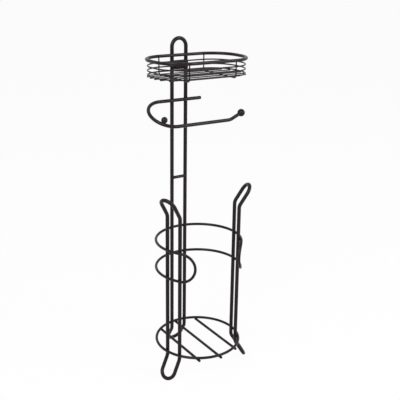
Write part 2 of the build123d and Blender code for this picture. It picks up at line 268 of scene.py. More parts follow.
def places(scene):
    """Sizes and places in metres that follow from the driving ones."""
    stand = scene.holder_stand
    arm = scene.holder_arm
    tray = scene.holder_tray
    fixing = scene.holder_fixing
    p = SimpleNamespace()
    p.half = stand.rod_pitch / 2
    p.rod_circle = stand.ring_r - stand.wire_d / 2 - stand.rod_d / 2 + stand.bite
    p.rod_out = math.sqrt(p.rod_circle ** 2 - p.half ** 2)
    p.rod_front = p.rod_out - stand.rod_d / 2
    p.lean_s = math.sin(stand.flare)
    p.lean_c = math.cos(stand.flare)
    p.flare_run = (stand.flare_out - stand.flare_bend * (1 - p.lean_c)) / p.lean_s - p.half
    p.flare_rise = stand.flare_bend * p.lean_s + (p.flare_run + p.half) * p.lean_c
    p.foot_bend_z = stand.rod_d / 2 - stand.foot_flat + p.flare_rise
    p.top_bend_z = stand.leg_top - p.flare_rise
    p.bar_z = stand.ring_z - stand.wire_d + stand.bite
    p.guard_turn = stand.guard_tip - stand.guard_half / stand.ring_r
    p.rim_z = stand.post_top - tray.rim_drop
    p.arm_back_y = p.rod_front - arm.arm_d / 2 + stand.bite
    p.arm_back_z = p.rim_z - arm.drop
    p.arm_z = p.arm_back_z - arm.fall
    p.tray_y = p.rod_front - tray.rim_d / 2 + stand.bite - tray.half_y
    p.rib_inset = tray.rim_d / 2 + tray.rib_d / 2 - stand.bite
    p.hoop_inset = p.rib_inset - tray.rib_d / 2 - tray.hoop_d / 2 + tray.bite
    p.bottom_inset = p.rib_inset - tray.rib_d / 2 - tray.bottom_d / 2 + tray.bite
    p.bottom_z = p.rim_z - tray.bottom_drop
    p.floor_z = p.bottom_z - tray.bottom_d / 2 - tray.floor_d / 2 + tray.bite
    p.rib_z = p.floor_z - tray.floor_d / 2 - tray.rib_d / 2 + tray.bite
    p.corner_x = tray.half_x - tray.corner
    p.corner_y = tray.half_y - tray.corner
    p.tray_plate_y = p.tray_y + tray.half_y - p.hoop_inset + tray.hoop_d / 2 - tray.bite
    p.post_plate_y = p.tray_plate_y + fixing.plate_t
    p.plate_z = p.rim_z - fixing.plate_drop + fixing.plate_h / 2
    p.screw_z = p.rim_z - (tray.upper_drop + tray.lower_drop) / 2
    p.head_y = p.post_plate_y + fixing.plate_t
    return p


# Paths and surfaces


def unit(directions):
    """Directions made of length one along the last axis."""
    return directions / np.linalg.norm(directions, axis=-1, keepdims=True)


def ways(count, way):
    """One direction repeated a number of times."""
    return np.repeat(np.asarray(way, float)[None], count, axis=0)


def line(start, end):
    """Straight run: the start plus a growing share of the way to the end."""
    start = np.asarray(start, float)
    way = np.asarray(end, float) - start
    count = max(1, round(np.linalg.norm(way) / RUN_STEP))
    return start + np.linspace(0, 1, count + 1)[:, None] * way


def arc(centre, first, second, begin, finish):
    """Arc: the centre plus first times the cosine of the turn plus second times its sine."""
    count = max(2, math.ceil(abs(finish - begin) / TURN_STEP))
    turn = np.linspace(begin, finish, count + 1)[:, None]
    return np.asarray(centre, float) + np.cos(turn) * first + np.sin(turn) * second


def end_to_end(*runs):
    """Runs in one path, each next run without its first point."""
    return np.concatenate([runs[0], *(run[1:] for run in runs[1:])])


def both_sides(half):
    """Closed path: a half that starts and ends at X = 0, and its mirror image run backwards."""
    return np.concatenate([half, half[-2:0:-1] * (-1, 1, 1)])


def turned(points, turn):
    """Points turned about the Z axis."""
    c = math.cos(turn)
    s = math.sin(turn)
    return points @ np.array([[c, s, 0], [-s, c, 0], [0, 0, 1]])


def all_round(first, second):
    """Directions round circles: first times the cosine of the turn plus second times its sine."""
    turn = np.linspace(0, math.tau, SIDES, endpoint=False)[None, :, None]
    return np.cos(turn) * first[:, None] + np.sin(turn) * second[:, None]


def carried(path, along, aside, radius):
    """Circles of the given radii carried along a path.

    Each circle stands on two directions square to the path: the way aside less its part along
    the path, and the cross product of the path's direction with that.
    """
    side = unit(aside - np.sum(aside * along, axis=-1, keepdims=True) * along)
    return path[:, None] + radius[:, None, None] * all_round(side, np.cross(along, side))


def ring_tube(path, aside, diameter):
    """Closed loop of round bar: one circle carried round a closed path."""
    along = unit(np.roll(path, -1, axis=0) - np.roll(path, 1, axis=0))
    return carried(path, along, aside, np.full(len(path), diameter / 2))


def wire_tube(path, aside, diameter, edge):
    """Open round bar whose cut ends are softened.

    Near an end the radius grows from the flat's to the bar's over a quarter circle of radius edge,
    and a circle of no radius closes the flat.
    """
    along = unit(np.gradient(path, axis=0))
    sweep = np.linspace(0, math.pi / 2, ROUND_STEPS + 1)
    back = edge * (1 - np.cos(sweep))[:, None]
    grow = diameter / 2 - edge * (1 - np.sin(sweep))
    first = path[0] + back * along[0]
    last = path[-1] - back[::-1] * along[-1]
    rows = [path[:1], first, path[1:-1], last, path[-1:]]
    headings = [ways(ROUND_STEPS + 2, along[0]), along[1:-1], ways(ROUND_STEPS + 2, along[-1])]
    radius = [[0.0], grow, np.full(len(path) - 2, diameter / 2), grow[::-1], [0.0]]
    return carried(np.concatenate(rows), np.concatenate(headings), aside, np.concatenate(radius))


def grid_faces(rows, columns, closed, first):
    """Corner numbers of the quads of one grid, joined round its columns and, if closed, its rows."""
    number = first + np.arange(rows * columns).reshape(rows, columns)
    here = number if closed else number[:-1]
    there = np.roll(number, -1, axis=0) if closed else number[1:]
    quads = [here, np.roll(here, -1, axis=1), np.roll(there, -1, axis=1), there]
    return np.stack(quads, axis=-1).reshape(-1, 4)


def make_mesh(name, grids, closed):
    """Mesh of grids of points, each joined round its columns, with seams and poles merged."""
    points = np.concatenate([grid.reshape(-1, 3) for grid in grids])
    firsts = np.cumsum([0] + [grid.shape[0] * grid.shape[1] for grid in grids[:-1]])
    faces = np.concatenate([
        grid_faces(grid.shape[0], grid.shape[1], closed, first) for grid, first in zip(grids, firsts)
    ])
    mesh = bpy.data.meshes.new(name)
    mesh.from_pydata(points, [], faces)
    shape = bmesh.new()
    shape.from_mesh(mesh)
    bmesh.ops.remove_doubles(shape, verts=shape.verts, dist=MERGE_GAP)
    bmesh.ops.recalc_face_normals(shape, faces=shape.faces)
    shape.to_mesh(mesh)
    shape.free()
    mesh.shade_smooth()
    return mesh


def add_piece(name, grids, nodes=(), closed=False, slot=COAT_SLOT):
    """Puts a surface into the scene at the origin, on the stand's one body, for the named CAD nodes."""
    mesh = make_mesh(name, grids, closed)
    mesh.materials.append(finish_of(slot))
    piece = bpy.data.objects.new(name, mesh)
    bpy.context.scene.collection.objects.link(piece)
    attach(piece, "root")
    if nodes:
        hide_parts(*nodes)


# Weld beads


def skin_height(radius, aside):
    """Height of a wire's skin over its middle line, at a distance aside that stays short of its edge."""
    return np.sqrt(radius ** 2 - np.minimum(aside, BEAD_LIMIT * radius) ** 2)


def seat_beads(at, normal, first_way, second_way, first_r, second_r, bite, spread):
    """Spool-shaped beads where two crossing wires are pressed and melted into each other.

    Round the contact normal the seat's edge is an ellipse-like line: the radius whose square is
    twice the bite over the sum of the two wires' curvatures that way. The bead's two rims lie on the
    wires a little past that edge, a hollow half circle joins them, and a pole inside each wire
    closes the spool.
    """
    spoke = all_round(first_way, np.cross(normal, first_way))
    first_s, second_s = (
        np.linalg.norm(np.cross(spoke, way[:, None]), axis=-1, keepdims=True)
        for way in (first_way, second_way)
    )
    seat = np.sqrt(2 * bite / (first_s ** 2 / first_r + second_s ** 2 / second_r))
    reach = seat + spread
    low = skin_height(first_r, reach * first_s) - first_r + bite / 2 - BEAD_SINK
    high = second_r - bite / 2 - skin_height(second_r, reach * second_s) + BEAD_SINK
    reach, low, gap = (part[:, None] for part in (reach, low, np.maximum(high - low, 0)))
    share = np.linspace(0, math.pi, 2 * ROUND_STEPS + 1)[None, :, None, None]
    pole = 0 * reach
    out = np.concatenate([pole, reach - gap / 2 * np.sin(share), pole], axis=1)
    up = [pole - first_r / 2, low + gap * (1 - np.cos(share)) / 2, pole + second_r / 2]
    lift = np.concatenate(up, axis=1) * normal[:, None, None]
    return list(at[:, None, None] + out * spoke[:, None] + lift)


def end_collars(at, way, rod_way, rod_r, wire_r, spread):
    """Collars where a wire's end stands on the side of a rod.

    Round the wire's own axis, the profile is a hollow quarter circle from the rod's skin up to the
    wire's; the rod's skin is its radius less the drop at that distance from its middle line.
    """
    across = np.cross(way, rod_way)
    spoke = all_round(rod_way, across)
    aside = np.abs(np.sum(spoke * across[:, None], axis=-1, keepdims=True))
    share = np.linspace(0, math.pi / 2, 2 * ROUND_STEPS + 1)
    out = wire_r - BEAD_SINK + spread * (1 - np.sin(share))
    out = np.concatenate([[0], out, [0]])[None, :, None, None]
    lift = spread * (1 - np.cos(share)) - BEAD_SINK
    lift = np.concatenate([[-rod_r / 2], lift, [spread]])[None, :, None, None]
    skin = skin_height(rod_r, out * aside[:, None])
    return list(at[:, None, None] + out * spoke[:, None] + (skin + lift) * way[:, None, None])


def rod_turns(stand, p):
    """Turns from the post of the six rods, as angles clockwise seen from above."""
    off = math.asin(p.half / p.rod_circle)
    loops = (0, stand.leg_turn, -stand.leg_turn)
    return np.array([turn + side * off for turn in loops for side in (-1, 1)])


def spokes(turns):
    """Outward level directions at turns from the post."""
    return np.stack([np.sin(turns), np.cos(turns), 0 * turns], axis=-1)


# Materials


def add_node(tree, kind, settings=None, links=None):
    """Adds a shader node, sets its inputs or properties by name and links its inputs to outputs."""
    node = tree.nodes.new("ShaderNode" + kind)
    sockets = {socket.identifier: socket for socket in node.inputs}
    for name, value in (settings or {}).items():
        if name in sockets:
            sockets[name].default_value = value
        else:
            setattr(node, name, value)
    for name, output in (links or {}).items():
        tree.links.new(output, sockets[name])
    return node


def per_mm(size):
    """Texture scale that gives a pattern a size in millimetres, on coordinates in metres."""
    return 1 / (size * MM)


def powder_coat(tree, finish):
    """Bronze-black powder coat, sprayed on steel wire and baked.

    The powder flows into a thin film with a soft sheen and a faint orange peel; bronze flake in a
    near-black base gives it a warm tone, and the film is a little uneven from place to place.
    """
    where = add_node(tree, "TexCoord").outputs["Object"]
    mottle = add_node(tree, "TexNoise", {"Scale": per_mm(MOTTLE_MM), "Detail": 3.0}, {"Vector": where})
    tone = add_node(
        tree,
        "Mix",
        {"data_type": "RGBA", "A_Color": (*finish.coat_dark, 1), "B_Color": (*finish.coat_light, 1)},
        {"Factor_Float": mottle.outputs["Fac"]},
    )
    cells = add_node(tree, "TexVoronoi", {"Scale": per_mm(FLAKE_MM)}, {"Vector": where})
    chance = add_node(tree, "SeparateColor", {}, {"Color": cells.outputs["Color"]})
    rarity = {"From Min": FLAKE_FROM, "To Max": FLAKE_SHOWN}
    flake = add_node(tree, "MapRange", rarity, {"Value": chance.outputs["Red"]})
    speckled = add_node(
        tree,
        "Mix",
        {"data_type": "RGBA", "B_Color": (*finish.flake, 1)},
        {"Factor_Float": flake.outputs["Result"], "A_Color": tone.outputs["Result"]},
    )
    sheen = add_node(tree, "TexNoise", {"Scale": per_mm(SHEEN_MM), "Detail": 2.0}, {"Vector": where})
    rough = add_node(tree, "MapRange", {"To Min": 0.24, "To Max": 0.34}, {"Value": sheen.outputs["Fac"]})
    peel = add_node(tree, "TexNoise", {"Scale": per_mm(PEEL_MM), "Detail": 1.0}, {"Vector": where})
    bump = add_node(
        tree, "Bump", {"Strength": 0.15, "Distance": PEEL_DEEP}, {"Height": peel.outputs["Fac"]}
    )
    return add_node(
        tree,
        "BsdfPrincipled",
        {"IOR": 1.5, "Specular IOR Level": 0.17},
        {
            "Base Color": speckled.outputs["Result"],
            "Roughness": rough.outputs["Result"],
            "Normal": bump.outputs["Normal"],
        },
    ).outputs["BSDF"]


def black_oxide(tree, finish):
    """Machine screw steel, cold headed, thread rolled and blackened in a hot oxide bath.

    The oxide is a dark, thin skin on smooth metal: an even dull gleam, with paler rubbed patches.
    """
    where = add_node(tree, "TexCoord").outputs["Object"]
    patch = add_node(tree, "TexNoise", {"Scale": per_mm(RUBBED_MM), "Detail": 4.0}, {"Vector": where})
    tone = add_node(
        tree,
        "Mix",
        {"data_type": "RGBA", "A_Color": (*finish.oxide_dark, 1), "B_Color": (*finish.oxide_light, 1)},
        {"Factor_Float": patch.outputs["Fac"]},
    )
    rough = add_node(tree, "MapRange", {"To Min": 0.35, "To Max": 0.5}, {"Value": patch.outputs["Fac"]})
    return add_node(
        tree,
        "BsdfPrincipled",
        {"Metallic": 1.0},
        {"Base Color": tone.outputs["Result"], "Roughness": rough.outputs["Result"]},
    ).outputs["BSDF"]


def seen_ray(tree):
    """One for rays from the camera, off gloss or through glass, else zero."""
    path = add_node(tree, "LightPath")
    total = path.outputs["Is Camera Ray"]
    for name in ("Is Glossy Ray", "Is Transmission Ray"):
        links = {"Value": total, "Value_001": path.outputs[name]}
        total = add_node(tree, "Math", {"operation": "MAXIMUM"}, links).outputs["Value"]
    return total


def studio_paper(tree, finish):
    """Matt white studio paper: it keeps a soft shadow and glows to white where it is looked at."""
    paper = add_node(tree, "BsdfDiffuse", {"Color": (*finish.floor, 1)}).outputs["BSDF"]
    glow = add_node(tree, "Emission", {"Color": (1, 1, 1, 1), "Strength": 1.0}).outputs["Emission"]
    shade = {"Fac": finish.floor_shade}
    bright = add_node(tree, "MixShader", shade, {"Shader": glow, "Shader_001": paper}).outputs["Shader"]
    links = {"Fac": seen_ray(tree), "Shader": paper, "Shader_001": bright}
    return add_node(tree, "MixShader", {}, links).outputs["Shader"]


FINISHES = {
    COAT_SLOT: ("bronze_black_powder_coat_baked", powder_coat),
    SCREW_SLOT: ("steel_cold_headed_black_oxide", black_oxide),
    PAPER: ("matt_white_studio_paper", studio_paper),
}


def finish_of(slot):
    """The slot's material, made on first use."""
    name, fill = FINISHES[slot]
    material = bpy.data.materials.get(name)
    if material is None:
        material = bpy.data.materials.new(name)
        material.use_nodes = True
        tree = material.node_tree
        tree.nodes.clear()
        surface = fill(tree, bpy.context.scene.holder_finish)
        add_node(tree, "OutputMaterial", {}, {"Surface": surface})
    return material


# Pieces


def bent_end(stand, p, z_bend, way):
    """Path of one bent-out end from the middle of its tip to the upright rod.

    A quarter circle in the leaning plane, a straight run up that plane, and the bend's arc.
    """
    lean = np.array([0, p.lean_s, way * p.lean_c])
    bend_at = np.array([p.half, p.rod_out + stand.flare_bend, z_bend])
    inward = -stand.flare_bend * Y_WAY
    upward = way * stand.flare_bend * Z_WAY
    bend = arc(bend_at, inward, upward, stand.flare, 0)
    side = bend[0] + p.flare_run * lean
    tip = arc(side - p.half * X_WAY, p.half * lean, p.half * X_WAY, 0, math.pi / 2)
    return end_to_end(tip, line(side, bend[0]), bend)


def loop_path(stand, p, arched):
    """Closed path of one hairpin loop at the back: foot, upright rod, and an arched or bent-out top."""
    foot = bent_end(stand, p, p.foot_bend_z, -1)
    if arched:
        middle = np.array([0, p.rod_out, stand.post_top - p.half])
        top = arc(middle, p.half * X_WAY, p.half * Z_WAY, 0, math.pi / 2)
    else:
        top = bent_end(stand, p, p.top_bend_z, 1)[::-1]
    return both_sides(end_to_end(foot, line(foot[-1], top[0]), top))


class HOLDER_OT_loops(Operator):
    """Makes the post and the two legs: closed hairpin loops of rod"""

    bl_idname = "holder.loops"
    bl_label = "Post and legs"

    def execute(self, context):
        stand = context.scene.holder_stand
        p = places(context.scene)
        turns = {"back_post": 0, "left_leg": stand.leg_turn, "right_leg": -stand.leg_turn}
        for node, turn in turns.items():
            path = turned(loop_path(stand, p, node == "back_post"), turn)
            grid = ring_tube(path, turned(Y_WAY[None], turn)[0], stand.rod_d)
            grid[..., 2] = np.maximum(grid[..., 2], 0)
            add_piece(f"{node}_rod", [grid], [node], closed=True)
        return {"FINISHED"}


class HOLDER_OT_base(Operator):
    """Makes the base ring and the three bars under it"""

    bl_idname = "holder.base"
    bl_label = "Base ring and bars"

    def execute(self, context):
        stand = context.scene.holder_stand
        p = places(context.scene)
        ring = arc(stand.ring_z * Z_WAY, stand.ring_r * X_WAY, stand.ring_r * Y_WAY, 0, math.tau)[:-1]
        grid = ring_tube(ring, Z_WAY, stand.wire_d)
        add_piece("base_ring_wire", [grid], ["base_ring"], closed=True)
        for side, x in (("left", -stand.bar_x), ("centre", 0), ("right", stand.bar_x)):
            reach = math.sqrt(stand.ring_r ** 2 - x ** 2) + stand.bar_over
            bar = line((x, -reach, p.bar_z), (x, reach, p.bar_z))
            grid = wire_tube(bar, Z_WAY, stand.wire_d, stand.edge)
            add_piece(f"base_bar_{side}_wire", [grid], [f"base_bar_{side}"])
        return {"FINISHED"}


class HOLDER_OT_guard(Operator):
    """Makes the guard wire round the cage and the rung between the post's rods"""

    bl_idname = "holder.guard"
    bl_label = "Guard and rung"

    def execute(self, context):
        stand = context.scene.holder_stand
        p = places(context.scene)
        # Unrolled, the guard is a long slot shape; turn and height are its two coordinates
        reach = stand.guard_half / stand.ring_r
        middle = (p.guard_turn, stand.guard_z, 0)
        tip = arc(middle, reach * X_WAY, stand.guard_half * Y_WAY, math.pi / 2, -math.pi / 2)
        count = math.ceil(p.guard_turn / TURN_STEP)
        run = np.linspace(0, p.guard_turn, count + 1)[:-1]
        turn = np.concatenate([run, tip[:, 0], run[:0:-1]])
        high = np.full(count, stand.guard_z + stand.guard_half)
        height = np.concatenate([high, tip[:, 1], 2 * stand.guard_z - high[1:]])
        out = spokes(turn)
        half = stand.ring_r * out + height[:, None] * Z_WAY
        low = np.array([[0, stand.ring_r, stand.guard_z - stand.guard_half]])
        path = both_sides(np.concatenate([half, low]))
        grid = ring_tube(path, unit(path * (1, 1, 0)), stand.wire_d)
        add_piece("roll_guard_wire", [grid], ["roll_guard"], closed=True)
        rung = line((-p.half, p.rod_out, stand.rung_z), (p.half, p.rod_out, stand.rung_z))
        grid = wire_tube(rung, Z_WAY, stand.rung_d, stand.edge)
        add_piece("post_rung_wire", [grid], ["post_rung"])
        return {"FINISHED"}


def arm_path(arm, p):
    """Path of the roll arm and the places and directions of its ball and stop.

    Back run, half circle in the slanting plane through both runs, front run, kink and rising end.
    """
    back = np.array([arm.bend_x, p.arm_back_y, p.arm_back_z])
    front = np.array([arm.bend_x, arm.front_y, p.arm_z])
    middle = (back + front) / 2
    radius = np.linalg.norm(back - front) / 2
    rise = np.array([math.cos(arm.kink), 0, math.sin(arm.kink)])
    corner = np.array([arm.kink_x, arm.front_y, p.arm_z])
    kink_at = corner - arm.kink_bend * math.tan(arm.kink / 2) * X_WAY + arm.kink_bend * Z_WAY
    ball = corner + arm.end_reach * rise
    bend = arc(middle, back - middle, -radius * X_WAY, 0, math.pi)
    kink = arc(kink_at, -arm.kink_bend * Z_WAY, arm.kink_bend * X_WAY, 0, arm.kink)
    start = np.array([arm.free_x, p.arm_back_y, p.arm_back_z])
    path = end_to_end(line(start, back), bend, line(front, kink[0]), kink, line(kink[-1], ball))
    aside = np.cross(X_WAY, unit(front - back))
    c = math.cos(arm.stop_turn)
    s = math.sin(arm.stop_turn)
    foot = middle + c * (front - middle) - s * radius * X_WAY
    foot_way = c * X_WAY + s * unit(front - middle)
    return SimpleNamespace(path=path, aside=aside, ball=ball, rise=rise, foot=foot, foot_way=foot_way)


def necked_ball(middle, way, aside, ball_d, rod_d, neck):
    """Ball on a rod that comes in against way.

    The radius is the smooth greater of the ball's circle and the rod, which leaves a small hollow
    fillet where the rod goes in; a pole at the ball's crown and one inside the rod close it.
    """
    ball_r = ball_d / 2
    rod_r = rod_d / 2
    ball = ball_r * np.cos(np.linspace(0, math.pi - math.asin(rod_r / ball_r), BALL_STEPS))
    along = np.concatenate([ball, ball[-1] - neck * np.array(NECK_ROWS)])
    circle = np.sqrt(np.maximum(ball_r ** 2 - along ** 2, 0))
    blend = np.clip(1 - np.abs(circle - rod_r) / neck, 0, 1) * (along < 0)
    radius = np.where(along < 0, np.maximum(circle, rod_r), circle) + blend ** 2 * neck / 4
    path = middle + np.append(along, along[-1])[:, None] * way
    return carried(path, np.broadcast_to(way, path.shape), aside, np.append(radius, 0))


class HOLDER_OT_roll_arm(Operator):
    """Makes the roll arm, its end ball, and the stop's pin and ball"""

    bl_idname = "holder.roll_arm"
    bl_label = "Roll arm"

    def execute(self, context):
        stand = context.scene.holder_stand
        arm = context.scene.holder_arm
        route = arm_path(arm, places(context.scene))
        grid = wire_tube(route.path, route.aside, arm.arm_d, stand.edge)
        add_piece("roll_arm_rod", [grid], ["roll_arm"])
        grid = necked_ball(route.ball, route.rise, Y_WAY, arm.end_ball_d, arm.arm_d, arm.neck)
        add_piece("arm_end_knob", [grid], ["arm_end_ball"])
        stop = route.foot + arm.stop_rise * Z_WAY
        grid = wire_tube(line(route.foot, stop), Y_WAY, arm.stop_pin_d, stand.edge)
        add_piece("roll_stop_post", [grid], ["roll_stop_pin"])
        grid = necked_ball(stop, Z_WAY, Y_WAY, arm.stop_ball_d, arm.stop_pin_d, arm.neck)
        add_piece("roll_stop_knob", [grid], ["roll_stop_ball"])
        return {"FINISHED"}


def oblong_path(tray, p, inset, z):
    """Closed rounded oblong drawn in by inset: four quarter circles joined by straight runs."""
    radius = tray.corner - inset
    right = []
    for side, begin in ((1, math.pi / 2), (-1, 0)):
        middle = (p.corner_x, p.tray_y + side * p.corner_y, z)
        right.append(arc(middle, radius * X_WAY, radius * Y_WAY, begin, begin - math.pi / 2))
    back = np.array([0, p.tray_y + tray.half_y - inset, z])
    front = np.array([0, p.tray_y - tray.half_y + inset, z])
    runs = [line(back, right[0][0]), right[0], line(right[0][-1], right[1][0]), right[1]]
    return both_sides(end_to_end(*runs, line(right[1][-1], front)))


def hoops(tray, p):
    """CAD node, inset, drop below the rim and diameter of the rim and the three hoops."""
    return (
        ("tray_rim", 0, 0, tray.rim_d),
        ("tray_upper_wire", p.hoop_inset, tray.upper_drop, tray.hoop_d),
        ("tray_lower_wire", p.hoop_inset, tray.lower_drop, tray.hoop_d),
        ("tray_bottom_wire", p.bottom_inset, tray.bottom_drop, tray.bottom_d),
    )


def rib_path(tray, p, x):
    """U-shaped path: down inside the rim, a small bend, under the floor, and up again.

    The uprights stand on the corner arcs: from the tray's middle they are the arcs' middle plus the
    root of the arcs' radius squared less the rib's offset squared.
    """
    reach = p.corner_y + math.sqrt((tray.corner - p.rib_inset) ** 2 - (tray.rib_x - p.corner_x) ** 2)
    top = p.rim_z + tray.rib_lap
    out = tray.rib_bend * Y_WAY
    up = tray.rib_bend * Z_WAY
    bends = []
    for side, begin in ((1, 0), (-1, -math.pi / 2)):
        middle = (x, p.tray_y + side * (reach - tray.rib_bend), p.rib_z + tray.rib_bend)
        bends.append(arc(middle, out, up, begin, begin - math.pi / 2))
    back, front = bends
    down = line((x, p.tray_y + reach, top), back[0])
    rise = line(front[-1], (x, p.tray_y - reach, top))
    return end_to_end(down, back, line(back[-1], front[0]), front, rise)


def floor_rows(tray, p):
    """Places of the floor wires from the middle of the tray, back to front, and their half lengths."""
    count = sum(name.startswith("tray_floor_wire_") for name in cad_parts)
    y = tray.floor_pitch * ((count - 1) / 2 - np.arange(count))
    past = np.maximum(np.abs(y) - p.corner_y, 0)
    return y, p.corner_x + np.sqrt((tray.corner - p.bottom_inset) ** 2 - past ** 2)


class HOLDER_OT_tray(Operator):
    """Makes the tray's rim, hoops, ribs and floor wires"""

    bl_idname = "holder.tray"
    bl_label = "Tray"

    def execute(self, context):
        tray = context.scene.holder_tray
        p = places(context.scene)
        for node, inset, drop, diameter in hoops(tray, p):
            grid = ring_tube(oblong_path(tray, p, inset, p.rim_z - drop), Z_WAY, diameter)
            add_piece(f"{node}_hoop", [grid], [node], closed=True)
        for side, x in (("left", -tray.rib_x), ("right", tray.rib_x)):
            grid = wire_tube(rib_path(tray, p, x), X_WAY, tray.rib_d, tray.edge)
            add_piece(f"tray_rib_{side}_wire", [grid], [f"tray_rib_{side}"])
        for number, (y, half) in enumerate(zip(*floor_rows(tray, p)), 1):
            reach = half + tray.floor_over
            row = line((-reach, p.tray_y + y, p.floor_z), (reach, p.tray_y + y, p.floor_z))
            grid = wire_tube(row, Z_WAY, tray.floor_d, tray.edge)
            node = f"tray_floor_wire_{number}"
            add_piece(f"{node}_rod", [grid], [node])
        return {"FINISHED"}


def plate_grid(fixing, y, z):
    """Plate with rounded corners and softened edges, its front face at y.

    The outline is four quarter circles; from face to face it is drawn in and out along a quarter
    circle at each edge, and a pole in the middle of each face closes it.
    """
    turn = np.linspace(0, math.tau, FINE_SIDES, endpoint=False) + math.pi / FINE_SIDES
    sweep = np.linspace(0, math.pi / 2, ROUND_STEPS + 1)
    edge = fixing.plate_edge
    inset = edge * (1 - np.sin(sweep))
    deep = edge * (1 - np.cos(sweep))
    inset = np.concatenate([inset, inset[::-1]])[:, None]
    deep = np.concatenate([deep, fixing.plate_t - deep[::-1]])
    corner = fixing.plate_corner - inset
    x = np.sign(np.cos(turn)) * (fixing.plate_w / 2 - fixing.plate_corner) + corner * np.cos(turn)
    up = np.sign(np.sin(turn)) * (fixing.plate_h / 2 - fixing.plate_corner) + corner * np.sin(turn)
    skin = np.stack([x, np.broadcast_to(deep[:, None], x.shape), up], axis=-1)
    poles = np.zeros((2, 1, len(turn), 3))
    poles[1, ..., 1] = fixing.plate_t
    return np.concatenate([poles[0], skin, poles[1]]) + (0, y, z)


def smooth(share):
    """Soft step from 0 to 1: three times the square less twice the cube of the share."""
    share = np.clip(share, 0, 1)
    return share * share * (3 - 2 * share)


def screw_grid(fixing, p, x):
    """Pan head machine screw along Y, head at the back, as height over turn and distance.

    The head's top sinks by a cross recess, deepest in the middle: a soft step across each arm times
    a soft step along it. The shank's radius falls by a ridge that climbs one pitch each turn.
    """
    turn = np.linspace(0, math.tau, FINE_SIDES, endpoint=False)
    head_r = fixing.head_d / 2
    flat_r = head_r - fixing.head_round
    radius = np.linspace(0, flat_r, HEAD_STEPS)[:, None]
    arms = np.sort(np.abs([radius * np.cos(turn), radius * np.sin(turn)]), axis=0)
    across = smooth((fixing.recess_w / 2 - arms[0]) / fixing.recess_side + 0.5)
    along = smooth((fixing.recess_l / 2 - arms[1]) / fixing.recess_end + 0.5)
    crown = fixing.head_crown * (1 - (radius / flat_r) ** 2)
    top = fixing.head_h + crown - fixing.recess_deep * across * along
    sweep = np.linspace(0, math.pi / 2, 2 * ROUND_STEPS)[1:, None]
    edge_r = flat_r + fixing.head_round * np.sin(sweep)
    edge_y = fixing.head_h - fixing.head_round * (1 - np.cos(sweep))
    shank_l = 2 * fixing.plate_t + fixing.tip_out
    shank_y = -np.linspace(0, shank_l, round(THREAD_STEPS * shank_l / fixing.pitch))[:, None]
    ridge = np.abs((shank_y / fixing.pitch - turn / math.tau) % 1 - 0.5)
    taper = np.clip((shank_y + shank_l) / fixing.tip_taper, 0, 1)
    thread = fixing.thread_deep * smooth(THREAD_SLOPE * ridge)
    shank_r = fixing.screw_d / 2 - thread - fixing.tip_taper * (1 - taper)
    every = np.ones((1, FINE_SIDES))
    rows_r = [radius * every, edge_r * every, head_r * every, shank_r, 0 * every]
    rows_y = [top, edge_y * every, 0 * every, shank_y * every, -shank_l * every]
    r = np.concatenate(rows_r)
    points = np.stack([r * np.cos(turn), np.concatenate(rows_y), r * np.sin(turn)], axis=-1)
    return points + (x, p.head_y, p.screw_z)


class HOLDER_OT_fixing(Operator):
    """Makes the two plates and the two screws that hold the tray to the post"""

    bl_idname = "holder.fixing"
    bl_label = "Plates and screws"

    def execute(self, context):
        fixing = context.scene.holder_fixing
        p = places(context.scene)
        for node, y in (("tray_plate", p.tray_plate_y), ("post_plate", p.post_plate_y)):
            add_piece(f"{node}_sheet", [plate_grid(fixing, y, p.plate_z)], [node])
        for side, x in (("left", -fixing.screw_x), ("right", fixing.screw_x)):
            node = f"tray_screw_{side}"
            add_piece(f"{node}_steel", [screw_grid(fixing, p, x)], [node], slot=SCREW_SLOT)
        return {"FINISHED"}


def rod_seats(stand, p, turns, z, wire_r):
    """Beads of a level wire pressed on to the outside of upright rods at given turns."""
    out = spokes(turns)
    at = (p.rod_circle + (stand.rod_d - stand.bite) / 2) * out + z * Z_WAY
    up = ways(len(out), Z_WAY)
    return seat_beads(at, out, up, np.cross(out, up), stand.rod_d / 2, wire_r, stand.bite, stand.bead)


def front_seats(stand, p, z, wire_r):
    """Beads of a level wire pressed on to the front of the post's two rods."""
    at = np.array([[side * p.half, p.rod_front + stand.bite / 2, z] for side in (-1, 1)])
    front, up, level = (ways(2, way) for way in (-Y_WAY, Z_WAY, X_WAY))
    return seat_beads(at, front, up, level, stand.rod_d / 2, wire_r, stand.bite, stand.bead)


def rib_seats(stand, tray, p):
    """Beads of the ribs' uprights inside the rim and the three hoops."""
    sine = (tray.rib_x - p.corner_x) / (tray.corner - p.rib_inset)
    cosine = math.sqrt(1 - sine ** 2)
    sides = np.array([(x, y) for x in (-1, 1) for y in (-1, 1)])
    flat = np.zeros(len(sides))
    out = np.column_stack([sides * (sine, cosine), flat])
    middle = np.column_stack([sides * (p.corner_x, p.corner_y), flat]) + p.tray_y * Y_WAY
    level = np.cross(out, Z_WAY)
    up = ways(len(sides), Z_WAY)
    beads = []
    for node, inset, drop, hoop_d in hoops(tray, p):
        bite = stand.bite if node == "tray_rim" else tray.bite
        reach = tray.corner - inset - (hoop_d - bite) / 2
        at = middle + reach * out + (p.rim_z - drop) * Z_WAY
        beads += seat_beads(at, -out, level, up, hoop_d / 2, tray.rib_d / 2, bite, tray.bead)
    return beads


